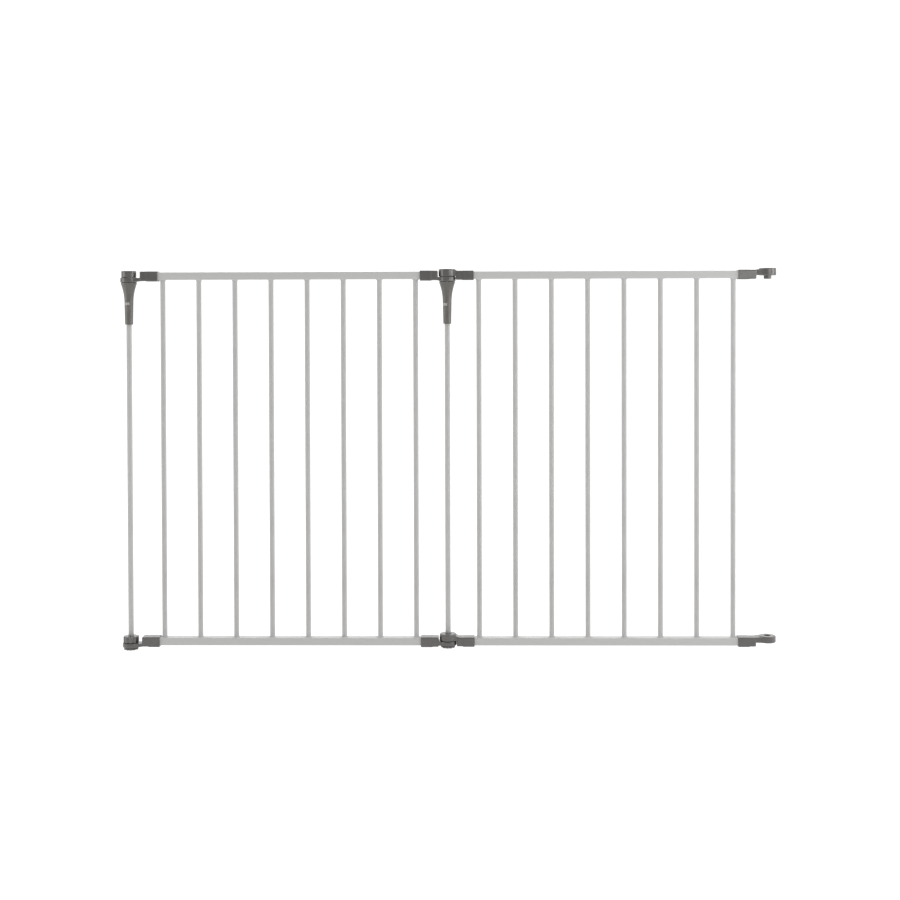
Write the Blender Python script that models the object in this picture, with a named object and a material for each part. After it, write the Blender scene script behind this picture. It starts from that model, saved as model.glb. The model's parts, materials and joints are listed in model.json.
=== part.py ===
"""Two-panel steel baby gate: two barred panels, two turning posts and their spring-loaded grips.

X runs along the gate, Y through its thickness and Z up. The origin is on the floor below the
middle post, which is the hinge between the panels.
"""

import math

import bmesh
import bpy
from mathutils import Matrix, Vector

MM = 0.001
GAP = 0.3 * MM  # between pieces that touch or slide on the real gate

# Whole gate
PANEL_PITCH = 626 * MM  # from one hinge axis to the next
BOTTOM_RAIL_Z = 17 * MM
TOP_RAIL_Z = 736 * MM

# Rails: rectangular steel tube
RAIL_HALF_DEPTH = 10 * MM
RAIL_HALF_HEIGHT = 7.5 * MM
RAIL_CORNER = 1.8 * MM
RAIL_WALL = 1.2 * MM
RAIL_END = 34 * MM  # from the hinge axis to the tube's end inside the connector

# Upright bars: round steel tube, through the inner wall of both rails
BAR_COUNT = 8
BAR_PITCH = 71 * MM
BAR_AT_JOINT = 62 * MM  # from the middle post's axis to the nearest bar
BAR_RADIUS = 5 * MM
BAR_WALL = 1 * MM

# Plastic connectors on the rail ends
BLOCK_LENGTH = 35 * MM
BLOCK_AT_END = 23.5 * MM  # from the hinge axis to the block, at an outer end of the gate
LEFT_BLOCK_AT_JOINT = 18.3 * MM  # and at the middle joint, where the right panel's is nearer
RIGHT_BLOCK_AT_JOINT = 17 * MM
BLOCK_HALF_DEPTH = 12 * MM
LEFT_BLOCK = (-10.6 * MM, 9.5 * MM)  # bottom and top, from the rail's centre
RIGHT_BLOCK = (-9.8 * MM, 9.2 * MM)
NECK_LENGTH = 14.5 * MM  # the part of the block nearer the hinge is a little smaller
NECK_STEP = 0.8 * MM
NECK_HALF_DEPTH = 11.6 * MM
EYE_RADIUS = 16.7 * MM
PEG_RADIUS = 7.5 * MM
PEG_BOTTOM = -9 * MM
PIN_RADIUS = 4 * MM
PIN_TOP = 1.5 * MM
PIN_BORE_TOP = 2.6 * MM
SCREW_X = 46 * MM  # from the hinge axis
SCREW_RADIUS = 1.75 * MM
SCREW_HEAD_RADIUS = 3.6 * MM

# Eyes, from the centre of their rail: (bottom, top)
TOP_LOW_EYE = (-12.0 * MM, -2.7 * MM)
TOP_HIGH_EYE = (-2.4 * MM, 12.3 * MM)
LEFT_BOTTOM_EYE = (-12.3 * MM, -3.3 * MM)
MIDDLE_BOTTOM_LOW_EYE = (-8.0 * MM, 1.0 * MM)
MIDDLE_BOTTOM_HIGH_EYE = (1.3 * MM, 15.0 * MM)
RIGHT_BOTTOM_EYE = (-1.8 * MM, 11.3 * MM)
CAP_TOP = 10.5 * MM
CAP_RADIUS = 14.7 * MM

# Posts
ROD_RADIUS = 5.25 * MM
ROD_WALL = 1.2 * MM
ROD_TOP = -44 * MM  # from the top rail's centre, inside the grip
ROD_HOLE = 6.25 * MM
CROWN_RADIUS = 14.6 * MM
CROWN_TOP = 9.6 * MM
FOOT_RADIUS = 13.5 * MM
FOOT_HEIGHT = 4.4 * MM
LOBE_COUNT = 10
LOBE_HEIGHT = 0.9 * MM
STUD_RADIUS = 2.5 * MM
STUD_LENGTH = 14 * MM
PLUG_LENGTH = 12 * MM

# Grips, with heights from the top rail's centre
GRIP_TOP = -12.3 * MM
GRIP_FLARE_TOP = -14 * MM
GRIP_FLARE_LENGTH = 38 * MM
GRIP_FLARE_RADIUS = 15.8 * MM
GRIP_WAIST_RADIUS = 8.8 * MM
GRIP_BOTTOM = -95 * MM
GRIP_BOTTOM_RADIUS = 7.8 * MM
GRIP_BORE = 5.6 * MM
GRIP_BORE_TOP = -26 * MM
GRIP_TRAVEL = 11 * MM
PIN_HEAD_RADIUS = 5.2 * MM
PIN_HEAD_HEIGHT = 2 * MM
SPRING_RADIUS = 4.6 * MM
SPRING_WIRE = 0.45 * MM
SPRING_TURNS = 5.5

# Buttons, measured outwards from the post's axis
BUTTON_WIDTH = 8.8 * MM
BUTTON_HEIGHT = 5.3 * MM
BUTTON_FACE = 9.6 * MM
BUTTON_BACK = 7.9 * MM
BUTTON_TRAVEL = 1 * MM
STEM_WIDTH = 3.2 * MM
STEM_HEIGHT = 2.8 * MM
STEM_END = 2.6 * MM
LEAF_WIDTH = 3 * MM
LEAF_THICKNESS = 0.35 * MM

ROUND_STEPS = 36  # sides of an eye, cap, grip or foot
TUBE_STEPS = 16  # sides of a bar, rod or pin
SCREW_STEPS = 10


# ---------------------------------------------------------------- scene and materials


def clear_scene():
    for old in list(bpy.data.objects):
        bpy.data.objects.remove(old, do_unlink=True)


def make_material(name, colour, roughness, metallic):
    material = bpy.data.materials.new(name)
    material.use_nodes = True
    shader = material.node_tree.nodes["Principled BSDF"]
    shader.inputs["Base Color"].default_value = (*colour, 1)
    shader.inputs["Roughness"].default_value = roughness
    shader.inputs["Metallic"].default_value = metallic
    return material


def make_empty(name, location, angle=0.0, parent=None):
    empty = bpy.data.objects.new(name, None)
    bpy.context.scene.collection.objects.link(empty)
    empty.location = location
    empty.rotation_euler.z = angle
    empty.parent = parent
    return empty


def add_object(name, mesh_or_curve, material, parent):
    obj = bpy.data.objects.new(name, mesh_or_curve)
    bpy.context.scene.collection.objects.link(obj)
    obj.data.materials.append(material)
    obj.parent = parent
    return obj


def mesh_from(bm, name):
    """Closes a bmesh into a mesh with outward normals and smooth round faces."""
    bmesh.ops.remove_doubles(bm, verts=bm.verts, dist=1e-7)
    bmesh.ops.recalc_face_normals(bm, faces=bm.faces)
    mesh = bpy.data.meshes.new(name)
    bm.to_mesh(mesh)
    bm.free()
    mesh.shade_smooth()
    mesh.set_sharp_from_angle(angle=math.radians(32))
    return mesh


# ---------------------------------------------------------------- shapes


def turned(profile, steps):
    """Turns a closed outline of (radius, height) points about Z. Points may lie on the axis."""
    bm = bmesh.new()
    rings = []
    for radius, height in profile:
        if radius == 0:
            rings.append([bm.verts.new((0, 0, height))] * steps)
        else:
            angles = [math.tau * i / steps for i in range(steps)]
            ring = [bm.verts.new((radius * math.cos(a), radius * math.sin(a), height)) for a in angles]
            rings.append(ring)
    for lower, upper in zip(rings, rings[1:] + rings[:1]):
        for i in range(steps):
            j = (i + 1) % steps
            corners = list(dict.fromkeys((lower[i], lower[j], upper[j], upper[i])))
            if len(corners) > 2:
                bm.faces.new(corners)
    return bm


def extruded(outline, bottom, top):
    """A prism over a list of (x, y) points."""
    bm = bmesh.new()
    lower = [bm.verts.new((x, y, bottom)) for x, y in outline]
    upper = [bm.verts.new((x, y, top)) for x, y in outline]
    bm.faces.new(lower)
    bm.faces.new(upper)
    for i in range(len(outline)):
        j = (i + 1) % len(outline)
        bm.faces.new((lower[i], lower[j], upper[j], upper[i]))
    return bm


def box(x_range, y_range, z_range):
    (x0, x1), (y0, y1) = x_range, y_range
    return extruded([(x0, y0), (x1, y0), (x1, y1), (x0, y1)], *z_range)


def rounded_box(x_range, y_range, z_range, radius):
    bm = box(x_range, y_range, z_range)
    bmesh.ops.bevel(
        bm, geom=bm.edges, offset=radius, segments=2, profile=0.5, affect="EDGES", clamp_overlap=True
    )
    return bm


def rounded_rectangle(half_width, half_height, radius, steps=3):
    """Corner arcs of a rectangle about the origin, anticlockwise."""
    points = []
    for turn, (sx, sy) in enumerate(((1, 1), (-1, 1), (-1, -1), (1, -1))):
        centre_x = sx * (half_width - radius)
        centre_y = sy * (half_height - radius)
        for i in range(steps + 1):
            angle = math.pi / 2 * (turn + i / steps)
            points.append((centre_x + radius * math.cos(angle), centre_y + radius * math.sin(angle)))
    return points


def along_x(bm):
    """Lays a prism made along Z down along X, with its outline's x as Y and its y as Z."""
    turn = Matrix(((0, 0, 1, 0), (1, 0, 0, 0), (0, 1, 0, 0), (0, 0, 0, 1)))
    bmesh.ops.transform(bm, matrix=turn, verts=bm.verts)
    return bm


def moved(bm, x, y, z):
    bmesh.ops.translate(bm, vec=Vector((x, y, z)), verts=bm.verts)
    return bm


def lobed_outline(radius):
    """A circle with LOBE_COUNT soft lobes."""
    points = []
    steps = LOBE_COUNT * 5
    for i in range(steps):
        angle = math.tau * i / steps
        reach = radius + LOBE_HEIGHT * math.cos(LOBE_COUNT * angle)
        points.append((reach * math.cos(angle), reach * math.sin(angle)))
    return points


def combined(base, joins, cuts):
    """Unites closed shapes with a first one and then cuts others from it. Returns the mesh."""
    scene = bpy.context.scene.collection
    body = bpy.data.objects.new("body", mesh_from(base, "body"))
    scene.objects.link(body)
    tools = []
    for operation, shapes in (("UNION", joins), ("DIFFERENCE", cuts)):
        for shape in shapes:
            tool = bpy.data.objects.new("tool", mesh_from(shape, "tool"))
            scene.objects.link(tool)
            modifier = body.modifiers.new(operation, "BOOLEAN")
            modifier.operation = operation
            modifier.object = tool
            tools.append(tool)
    depsgraph = bpy.context.evaluated_depsgraph_get()
    mesh = bpy.data.meshes.new_from_object(body.evaluated_get(depsgraph))
    for helper in tools + [body]:
        bpy.data.objects.remove(helper, do_unlink=True)
    mesh.shade_smooth()
    mesh.set_sharp_from_angle(angle=math.radians(32))
    return mesh


def disc(radius, bottom, top, edge=1.2 * MM):
    """A round plate with softened rims."""
    profile = [
        (0, bottom),
        (radius - edge, bottom),
        (radius - 0.3 * edge, bottom + 0.3 * edge),
        (radius, bottom + edge),
        (radius, top - edge),
        (radius - 0.3 * edge, top - 0.3 * edge),
        (radius - edge, top),
        (0, top),
    ]
    return turned(profile, ROUND_STEPS)


def cylinder(radius, bottom, top, steps=TUBE_STEPS):
    return turned([(0, bottom), (radius, bottom), (radius, top), (0, top)], steps)


def tube(radius, wall, bottom, top, steps=TUBE_STEPS):
    inner = radius - wall
    return turned([(inner, bottom), (radius, bottom), (radius, top), (inner, top)], steps)


# ---------------------------------------------------------------- panels


def rail_mesh(length, inward, bar_places):
    """A rail centred on its own length, punched for the bars on its inner side."""
    outline = rounded_rectangle(RAIL_HALF_DEPTH, RAIL_HALF_HEIGHT, RAIL_CORNER)
    hollow = rounded_rectangle(
        RAIL_HALF_DEPTH - RAIL_WALL, RAIL_HALF_HEIGHT - RAIL_WALL, RAIL_CORNER - RAIL_WALL
    )
    half = length / 2
    cuts = [along_x(extruded(hollow, -half - 1 * MM, half + 1 * MM))]
    for x in bar_places:
        cuts.append(moved(cylinder(BAR_RADIUS + GAP, 0, inward * RAIL_HALF_HEIGHT * 1.5), x, 0, 0))
    for side in (-1, 1):
        hole = screw_hole()
        cuts.append(moved(hole, side * (half - SCREW_X + RAIL_END), 0, 0))
    return combined(along_x(extruded(outline, -half, half)), [], cuts)


def screw_hole():
    hole = cylinder(SCREW_RADIUS + GAP, 4 * MM, 16 * MM, SCREW_STEPS)
    bmesh.ops.rotate(hole, matrix=Matrix.Rotation(-math.pi / 2, 3, "X"), verts=hole.verts)
    return hole


def arm(eye, block_at, block):
    """The tapered arm from an eye to its block."""
    near_low = eye[0] + 0.6 * MM
    near_high = eye[1] - 0.6 * MM
    far_low = max(near_low, block[0] + NECK_STEP + 0.6 * MM)
    far_high = min(near_high, block[1] - 0.8 * MM)
    bm = bmesh.new()
    corners = []
    for x, half, low, high in (
        (8 * MM, 13 * MM, near_low, near_high),
        (block_at + 6 * MM, 10.2 * MM, far_low, far_high),
    ):
        section = ((-half, low), (half, low), (half, high), (-half, high))
        corners.append([bm.verts.new((x, y, z)) for y, z in section])
    near, far = corners
    bm.faces.new(near)
    bm.faces.new(far)
    for i in range(4):
        j = (i + 1) % 4
        bm.faces.new((near[i], near[j], far[j], far[i]))
    return bm


def rail_socket():
    outline = rounded_rectangle(RAIL_HALF_DEPTH + GAP, RAIL_HALF_HEIGHT + GAP, RAIL_CORNER + GAP)
    return along_x(extruded(outline, RAIL_END - GAP, BLOCK_AT_END + BLOCK_LENGTH + 5 * MM))


def connector_mesh(eye, hole_radius, block_at, block, side):
    """A connector whose eye is at the origin and whose block lies along side * X.

    A hole_radius of None makes the closed top eye, with its peg and the bore for the pin.
    """
    step = block_at + NECK_LENGTH
    base = rounded_box(
        (step - 3 * MM, block_at + BLOCK_LENGTH),
        (-BLOCK_HALF_DEPTH, BLOCK_HALF_DEPTH),
        block,
        2 * MM,
    )
    neck = rounded_box(
        (block_at, step + 2 * MM),
        (-NECK_HALF_DEPTH, NECK_HALF_DEPTH),
        (block[0] + NECK_STEP, block[1] - 0.2 * MM),
        1.8 * MM,
    )
    joins = [neck, arm(eye, block_at, block), disc(EYE_RADIUS, *eye)]
    cuts = [rail_socket(), moved(screw_hole(), SCREW_X, 0, 0)]
    if hole_radius is None:
        joins.append(cylinder(PEG_RADIUS, PEG_BOTTOM, eye[0] + 3 * MM, 24))
        cuts.append(cylinder(PIN_RADIUS + GAP, PEG_BOTTOM - 5 * MM, PIN_BORE_TOP))
    else:
        cuts.append(cylinder(hole_radius, eye[0] - 5 * MM, eye[1] + 5 * MM, 24))
    mesh = combined(base, joins, cuts)
    if side < 0:
        mesh.transform(Matrix.Scale(-1, 4, (1, 0, 0)))
        mesh.flip_normals()
    return mesh


def screw_mesh():
    """A screw through a connector's rear wall into its rail, with its head's seat at the origin."""
    profile = [
        (0, -5.5 * MM),
        (SCREW_RADIUS * 0.6, -5.5 * MM),
        (SCREW_RADIUS, -4.5 * MM),
        (SCREW_RADIUS, 0),
        (SCREW_HEAD_RADIUS, 0),
        (SCREW_HEAD_RADIUS, 0.7 * MM),
        (SCREW_HEAD_RADIUS * 0.7, 1.6 * MM),
        (0, 1.9 * MM),
    ]
    screw = turned(profile, SCREW_STEPS)
    bmesh.ops.rotate(screw, matrix=Matrix.Rotation(-math.pi / 2, 3, "X"), verts=screw.verts)
    return mesh_from(screw, "screw")


def bar_mesh():
    inside = RAIL_HALF_HEIGHT - RAIL_WALL - GAP
    return mesh_from(tube(BAR_RADIUS, BAR_WALL, BOTTOM_RAIL_Z - inside, TOP_RAIL_Z + inside), "bar")


def build_panel(name, first_bar, block, connectors, materials, parent):
    """A panel from its parent's axis to the next one, with first_bar measured from the first."""
    bar_places = [first_bar + i * BAR_PITCH for i in range(BAR_COUNT)]
    middle = PANEL_PITCH / 2
    length = PANEL_PITCH - 2 * RAIL_END
    for level, z, inward in (("bottom", BOTTOM_RAIL_Z, 1), ("top", TOP_RAIL_Z, -1)):
        mesh = rail_mesh(length, inward, [x - middle for x in bar_places])
        rail = add_object(f"{name}_{level}_rail", mesh, materials["steel"], parent)
        rail.location = (middle, 0, z)
    bars = bar_mesh()
    for i, x in enumerate(bar_places, 1):
        bar = add_object(f"{name}_bar_{i}", bars.copy(), materials["steel"], parent)
        bar.location = (x, 0, 0)
    for place, (x, z, side, block_at, eye, hole_radius) in connectors.items():
        mesh = connector_mesh(eye, hole_radius, block_at, block, side)
        connector = add_object(f"{name}_{place}_connector", mesh, materials["connector"], parent)
        connector.location = (x, 0, z)
    screw_places = [
        (x, BLOCK_HALF_DEPTH + GAP, z)
        for z in (BOTTOM_RAIL_Z, TOP_RAIL_Z)
        for x in (SCREW_X, PANEL_PITCH - SCREW_X)
    ]
    for i, place in enumerate(screw_places, 1):
        screw = add_object(f"{name}_screw_{i}", screw_mesh(), materials["zinc"], parent)
        screw.location = place


# ---------------------------------------------------------------- posts


def grip_mesh(button_z):
    """The flared grip, with its bore, the pin's hole and the button's recess facing -Y."""
    outer = [(GRIP_FLARE_RADIUS - 0.7 * MM, GRIP_TOP), (GRIP_FLARE_RADIUS, GRIP_TOP - 0.6 * MM)]
    for i in range(9):
        share = i / 8
        flare = (GRIP_FLARE_RADIUS - GRIP_WAIST_RADIUS) * (1 - share) ** 2
        outer.append((GRIP_WAIST_RADIUS + flare, GRIP_FLARE_TOP - share * GRIP_FLARE_LENGTH))
    outer.append((GRIP_BOTTOM_RADIUS, GRIP_BOTTOM + 0.8 * MM))
    outer.append((GRIP_BOTTOM_RADIUS - 0.6 * MM, GRIP_BOTTOM))
    inner = [
        (GRIP_BORE, GRIP_BOTTOM),
        (GRIP_BORE, GRIP_BORE_TOP),
        (PIN_RADIUS + GAP, GRIP_BORE_TOP),
        (PIN_RADIUS + GAP, GRIP_TOP),
    ]
    half = BUTTON_WIDTH / 2 + GAP
    floor = BUTTON_BACK - BUTTON_TRAVEL - GAP
    high = BUTTON_HEIGHT / 2 + GAP
    recess = box((-half, half), (-15 * MM, -floor), (button_z - high, button_z + high))
    half = STEM_WIDTH / 2 + GAP
    high = STEM_HEIGHT / 2 + GAP
    passage = box((-half, half), (-10 * MM, -3 * MM), (button_z - high, button_z + high))
    return combined(turned(outer + inner, ROUND_STEPS), [], [recess, passage])


def rod_mesh(bottom, top, button_z):
    """The post's tube, with the long slot in which the button's stem travels."""
    half = STEM_WIDTH / 2 + 1.3 * GAP
    low = button_z - STEM_HEIGHT / 2 - GRIP_TRAVEL - 1.3 * GAP
    high = button_z + STEM_HEIGHT / 2 + 1.3 * GAP
    slot = box((-half, half), (-8 * MM, 0), (low, high))
    return combined(tube(ROD_RADIUS, ROD_WALL, bottom, top, 24), [], [slot])


def button_mesh(button_z):
    reach = math.asin(BUTTON_WIDTH / 2 / BUTTON_FACE)
    arc = [-reach + 2 * reach * i / 8 for i in range(9)]
    outline = [(BUTTON_FACE * math.sin(a), -BUTTON_FACE * math.cos(a)) for a in arc]
    outline += [(BUTTON_WIDTH / 2, -BUTTON_BACK), (-BUTTON_WIDTH / 2, -BUTTON_BACK)]
    half = BUTTON_HEIGHT / 2
    head = extruded(outline, button_z - half, button_z + half)
    half = STEM_HEIGHT / 2
    stem = box(
        (-STEM_WIDTH / 2, STEM_WIDTH / 2),
        (-BUTTON_BACK - 0.5 * MM, -STEM_END),
        (button_z - half, button_z + half),
    )
    return combined(head, [stem], [])


def leaf_mesh(button_z):
    """The bent strip that pushes the button out, standing in the rod behind its stem."""
    front = -STEM_END + GAP
    back = ROD_RADIUS - ROD_WALL - 0.8 * MM
    foot = button_z - 4 * MM
    crest = button_z + 6 * MM
    middle = (front + back) / 2
    outside = [(front, foot), (front + 0.1 * MM, button_z + 1 * MM), (middle, crest), (back, foot)]
    inside = [
        (back - 1.4 * LEAF_THICKNESS, foot),
        (middle, crest - 3 * LEAF_THICKNESS),
        (front + 0.1 * MM + LEAF_THICKNESS, button_z + 0.9 * MM),
        (front + LEAF_THICKNESS, foot),
    ]
    bm = along_x(extruded(outside + inside, -LEAF_WIDTH / 2, LEAF_WIDTH / 2))
    return mesh_from(bm, "leaf")


def coil_curve(name, bottom, top):
    curve = bpy.data.curves.new(name, "CURVE")
    curve.dimensions = "3D"
    curve.bevel_depth = SPRING_WIRE
    curve.bevel_resolution = 1
    curve.use_fill_caps = True
    steps = int(SPRING_TURNS * 12)
    spline = curve.splines.new("POLY")
    spline.points.add(steps)
    low = bottom + SPRING_WIRE
    high = top - SPRING_WIRE
    for i, point in enumerate(spline.points):
        angle = math.tau * SPRING_TURNS * i / steps
        x = SPRING_RADIUS * math.cos(angle)
        y = SPRING_RADIUS * math.sin(angle)
        point.co = (x, y, low + (high - low) * i / steps, 1)
    return curve


def pin_mesh(top_z):
    head_top = top_z + GRIP_BORE_TOP - GAP
    head_bottom = head_top - PIN_HEAD_HEIGHT
    tip = top_z + PIN_TOP
    profile = [
        (0, head_bottom),
        (PIN_HEAD_RADIUS, head_bottom),
        (PIN_HEAD_RADIUS, head_top),
        (PIN_RADIUS, head_top),
        (PIN_RADIUS, tip - 0.8 * MM),
        (PIN_RADIUS - 0.8 * MM, tip),
        (0, tip),
    ]
    return mesh_from(turned(profile, TUBE_STEPS), "pin")


def foot_mesh(bottom):
    """The lobed levelling foot with its stud."""
    top = bottom + FOOT_HEIGHT
    stud = cylinder(STUD_RADIUS, top - 1 * MM, top + STUD_LENGTH)
    return combined(extruded(lobed_outline(FOOT_RADIUS), bottom, top), [stud], [])


def build_post(name, axis, foot_bottom, button_z, materials):
    """A post about the empty `axis`, with button_z measured from the top rail's centre."""
    foot_top = foot_bottom + FOOT_HEIGHT
    rod_bottom = foot_top + GAP
    rod_top = TOP_RAIL_Z + ROD_TOP
    button_z += TOP_RAIL_Z

    rod = rod_mesh(rod_bottom, rod_top, button_z)
    add_object(f"{name}_post_rod", rod, materials["steel"], axis)
    plug = tube(
        ROD_RADIUS - ROD_WALL - GAP,
        ROD_RADIUS - ROD_WALL - 2 * GAP - STUD_RADIUS,
        rod_bottom,
        rod_bottom + PLUG_LENGTH,
    )
    add_object(f"{name}_post_plug", mesh_from(plug, "plug"), materials["zinc"], axis)
    add_object(f"{name}_post_foot", foot_mesh(foot_bottom), materials["grip"], axis)

    grip = grip_mesh(button_z - TOP_RAIL_Z)
    grip.transform(Matrix.Translation((0, 0, TOP_RAIL_Z)))
    add_object(f"{name}_grip", grip, materials["grip"], axis)
    add_object(f"{name}_grip_pin", pin_mesh(TOP_RAIL_Z), materials["zinc"], axis)
    spring_top = TOP_RAIL_Z + GRIP_BORE_TOP - PIN_HEAD_HEIGHT - 2 * GAP
    spring = coil_curve(f"{name}_grip_spring", rod_top + GAP, spring_top)
    add_object(f"{name}_grip_spring", spring, materials["spring"], axis)

    add_object(f"{name}_button", button_mesh(button_z), materials["button"], axis)
    add_object(f"{name}_button_spring", leaf_mesh(button_z), materials["spring"], axis)


def cap_mesh():
    """The cap that closes the left post's free top eye, shaped like the missing eye."""
    bottom = TOP_HIGH_EYE[0]
    peg = cylinder(PEG_RADIUS, PEG_BOTTOM, bottom + 3 * MM, 24)
    bore = cylinder(PIN_RADIUS + GAP, PEG_BOTTOM - 5 * MM, PIN_BORE_TOP)
    return combined(disc(CAP_RADIUS, bottom, CAP_TOP), [peg], [bore])


def crown_mesh():
    """The lobed collar that stands in for the missing eye at the foot of the left post."""
    bore = cylinder(ROD_RADIUS + GAP, -50 * MM, 50 * MM, 24)
    return combined(
        extruded(lobed_outline(CROWN_RADIUS), LEFT_BOTTOM_EYE[1] + GAP, CROWN_TOP), [], [bore]
    )


# ---------------------------------------------------------------- assembly


def build_gate():
    materials = {
        "steel": make_material("grey_powder_coat", (0.46, 0.46, 0.455), 0.45, 0.0),
        "connector": make_material("dark_grey_plastic", (0.125, 0.118, 0.112), 0.5, 0.0),
        "grip": make_material("dark_grey_grip_plastic", (0.13, 0.122, 0.112), 0.45, 0.0),
        "button": make_material("light_grey_button", (0.3, 0.29, 0.28), 0.4, 0.0),
        "zinc": make_material("zinc_plated_steel", (0.6, 0.61, 0.62), 0.3, 1.0),
        "spring": make_material("spring_steel", (0.5, 0.5, 0.52), 0.3, 1.0),
    }
    left_panel = make_empty("left_panel_frame", (-PANEL_PITCH, 0, 0))
    right_panel = make_empty("right_panel_axis", (0, 0, 0))
    left_axis = make_empty("left_post_axis", (-PANEL_PITCH, 0, 0), math.radians(-8))
    middle_axis = make_empty("middle_post_axis", (0, 0, 0), math.radians(-27))

    peg_hole = PEG_RADIUS + GAP
    far = PANEL_PITCH
    end = BLOCK_AT_END
    left_joint = LEFT_BLOCK_AT_JOINT
    right_joint = RIGHT_BLOCK_AT_JOINT
    left_connectors = {
        "top_left": (0, TOP_RAIL_Z, 1, end, TOP_LOW_EYE, peg_hole),
        "top_right": (far, TOP_RAIL_Z, -1, left_joint, TOP_LOW_EYE, peg_hole),
        "bottom_left": (0, BOTTOM_RAIL_Z, 1, end, LEFT_BOTTOM_EYE, ROD_HOLE),
        "bottom_right": (far, BOTTOM_RAIL_Z, -1, left_joint, MIDDLE_BOTTOM_LOW_EYE, ROD_HOLE),
    }
    right_connectors = {
        "top_left": (0, TOP_RAIL_Z, 1, right_joint, TOP_HIGH_EYE, None),
        "top_right": (far, TOP_RAIL_Z, -1, end, TOP_HIGH_EYE, None),
        "bottom_left": (0, BOTTOM_RAIL_Z, 1, right_joint, MIDDLE_BOTTOM_HIGH_EYE, ROD_HOLE),
        "bottom_right": (far, BOTTOM_RAIL_Z, -1, end, RIGHT_BOTTOM_EYE, ROD_HOLE),
    }
    bar_run = (BAR_COUNT - 1) * BAR_PITCH
    left_first_bar = PANEL_PITCH - BAR_AT_JOINT - bar_run
    build_panel("left_panel", left_first_bar, LEFT_BLOCK, left_connectors, materials, left_panel)
    build_panel("right_panel", BAR_AT_JOINT, RIGHT_BLOCK, right_connectors, materials, right_panel)

    cap = add_object("left_top_cap", cap_mesh(), materials["connector"], left_panel)
    cap.location = (0, 0, TOP_RAIL_Z)
    crown = add_object("left_post_crown", crown_mesh(), materials["connector"], left_axis)
    crown.location = (0, 0, BOTTOM_RAIL_Z)

    left_foot = BOTTOM_RAIL_Z + LEFT_BOTTOM_EYE[0] - GAP - FOOT_HEIGHT
    middle_foot = BOTTOM_RAIL_Z + MIDDLE_BOTTOM_LOW_EYE[0] - GAP - FOOT_HEIGHT
    build_post("left", left_axis, left_foot, -54 * MM, materials)
    build_post("middle", middle_axis, middle_foot, -57 * MM, materials)


clear_scene()
build_gate()
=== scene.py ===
"""Looks for the two-panel baby gate: finished pieces over the CAD frame, materials, light and camera."""

import json
import math

import bmesh
import bpy
from mathutils import Matrix, Vector, noise


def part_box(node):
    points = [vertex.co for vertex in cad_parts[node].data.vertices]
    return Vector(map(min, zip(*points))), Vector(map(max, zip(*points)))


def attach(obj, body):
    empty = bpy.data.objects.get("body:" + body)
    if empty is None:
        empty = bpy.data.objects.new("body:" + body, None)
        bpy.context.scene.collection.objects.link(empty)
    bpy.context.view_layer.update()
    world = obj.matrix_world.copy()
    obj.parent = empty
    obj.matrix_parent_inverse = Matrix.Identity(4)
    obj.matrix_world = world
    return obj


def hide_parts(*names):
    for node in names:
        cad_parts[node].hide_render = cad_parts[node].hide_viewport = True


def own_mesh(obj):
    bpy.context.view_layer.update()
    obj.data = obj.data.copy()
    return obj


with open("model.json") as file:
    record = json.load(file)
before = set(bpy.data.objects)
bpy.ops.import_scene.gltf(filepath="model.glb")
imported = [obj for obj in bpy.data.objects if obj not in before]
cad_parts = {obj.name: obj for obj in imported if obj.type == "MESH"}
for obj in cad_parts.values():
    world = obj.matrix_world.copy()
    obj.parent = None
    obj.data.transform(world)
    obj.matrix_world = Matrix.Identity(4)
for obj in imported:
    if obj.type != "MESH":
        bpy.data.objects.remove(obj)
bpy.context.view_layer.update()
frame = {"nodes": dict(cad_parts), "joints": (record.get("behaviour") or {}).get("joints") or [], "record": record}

MM = 0.001
GAP = 0.3 * MM  # between pieces that touch or slide on the real gate
WELD_EMBED = 0.2 * MM  # how far a weld runs into the rail's face

# Driving sizes: the CAD model's, and those of the details added here
RAIL_CORNER = 1.8 * MM
RAIL_WALL = 1.2 * MM
BAR_RADIUS = 5 * MM
BAR_WALL = 1 * MM
WELD_WIDTH = 1.6 * MM
WELD_HEIGHT = 2.2 * MM
WELD_RIPPLE = 0.5 * MM
EYE_RADIUS = 16.7 * MM
BLOCK_LENGTH = 35 * MM
BLOCK_HALF_DEPTH = 12 * MM
BLOCKS = {"left": (-10.6 * MM, 9.5 * MM), "right": (-9.8 * MM, 9.2 * MM)}  # bottom and top, by panel
NECK_LENGTH = 14.5 * MM
NECK_STEP = 0.8 * MM
NECK_HALF_DEPTH = 11.6 * MM
RAIL_END = 34 * MM
PEG_RADIUS = 7.5 * MM
PEG_BOTTOM = -9 * MM
PEG_HOLE = 7.8 * MM
PIN_RADIUS = 4 * MM
PIN_BORE = 4.3 * MM
PIN_BORE_TOP = 2.6 * MM
SCREW_X = 46 * MM
SCREW_HOLE = 2.05 * MM
SCREW_RADIUS = 1.75 * MM
SCREW_HEAD_RADIUS = 3.6 * MM
SCREW_HEAD_HEIGHT = 1.9 * MM
SCREW_LENGTH = 5.5 * MM
CROSS_LENGTH = 2.1 * MM  # half of each slot of the cross recess, and half its width
CROSS_WIDTH = 0.42 * MM
CAP_RADIUS = 14.7 * MM
ROD_RADIUS = 5.25 * MM
ROD_WALL = 1.2 * MM
ROD_HOLE = 6.25 * MM
CROWN_RADIUS = 14.6 * MM
FOOT_RADIUS = 13.5 * MM
FOOT_HEIGHT = 4.4 * MM
STUD_RADIUS = 2.5 * MM
THREAD_PITCH = 0.8 * MM
LOBE_COUNT = 10
LOBE_HEIGHT = 0.9 * MM
PIN_HEAD_HEIGHT = 2 * MM
GRIP_FLARE_DROP = 1.7 * MM
GRIP_FLARE_LENGTH = 38 * MM
GRIP_FLARE_RADIUS = 15.8 * MM
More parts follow.
